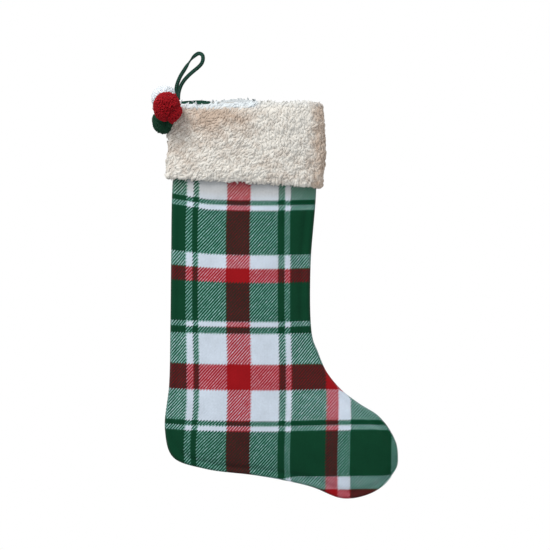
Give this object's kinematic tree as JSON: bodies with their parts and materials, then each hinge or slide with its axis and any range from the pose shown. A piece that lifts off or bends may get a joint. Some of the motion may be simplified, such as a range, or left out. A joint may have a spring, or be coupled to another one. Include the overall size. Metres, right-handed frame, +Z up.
{
  "type": "hanging stocking",
  "caption": "Soft lined stocking with a turned-down pile cuff and yarn pom-poms, hung by a sewn fabric loop at its heel-side corner.",
  "frame": {"origin": "inside top of the hanging loop, where the hook carries the stocking", "axes": "+Z up, front panel faces -Y, toe points towards +X"},
  "size_m": [0.3167, 0.0684, 0.5697],
  "materials": {
    "plaid_flannel": "brushed twill flannel in red, white and green plaid",
    "lining_cloth": "dark green plain-weave lining",
    "sherpa": "cream curled sherpa pile",
    "green_thread": "matt sewing thread",
    "cream_thread": "matt sewing thread",
    "loop_tape": "folded and stitched cotton tape",
    "white_yarn": "cut wool yarn",
    "red_yarn": "cut wool yarn",
    "green_yarn": "cut wool yarn"
  },
  "bodies": {
    "stocking": {"shell_front": "plaid_flannel", "shell_back": "plaid_flannel", "lining_front": "lining_cloth", "lining_back": "lining_cloth", "cuff_front": "sherpa", "cuff_back": "sherpa", "shell_seam_thread": "green_thread", "lining_seam_thread": "green_thread", "mouth_seam_thread": "cream_thread", "cuff_heel_seam_thread": "cream_thread", "cuff_instep_seam_thread": "cream_thread"},
    "bar_tack": {"loop_bar_tack": "green_thread"},
    "loop": {"hanging_loop": "loop_tape"},
    "white_pom_pom": {"pom_pom_white": "white_yarn", "pom_tie_white": "white_yarn"},
    "red_pom_pom": {"pom_pom_red": "red_yarn", "pom_tie_red": "red_yarn"},
    "green_pom_pom": {"pom_pom_green": "green_yarn", "pom_tie_green": "green_yarn"}
  },
  "joints": [
    {"name": "loop_fold", "type": "hinge", "parent": "stocking", "child": "bar_tack", "pos_m": [-0.025, -0.004, -0.0598], "axis": [-1, 0, 0], "range_deg": [-45, 45]},
    {"name": "loop_swing", "type": "hinge", "parent": "bar_tack", "child": "loop", "pos_m": [-0.025, -0.004, -0.0598], "axis": [0, 1, 0], "range_deg": [-50, 40]},
    {"name": "white_pom_swing", "type": "hinge", "parent": "stocking", "child": "white_pom_pom", "pos_m": [-0.025, -0.004, -0.0598], "axis": [0, 1, 0], "range_deg": [0, 45]},
    {"name": "red_pom_swing", "type": "hinge", "parent": "stocking", "child": "red_pom_pom", "pos_m": [-0.025, -0.004, -0.0598], "axis": [-1, 0, 0], "range_deg": [0, 45]},
    {"name": "green_pom_swing", "type": "hinge", "parent": "stocking", "child": "green_pom_pom", "pos_m": [-0.025, -0.004, -0.0598], "axis": [0, 1, 0], "range_deg": [0, 15]}
  ]
}
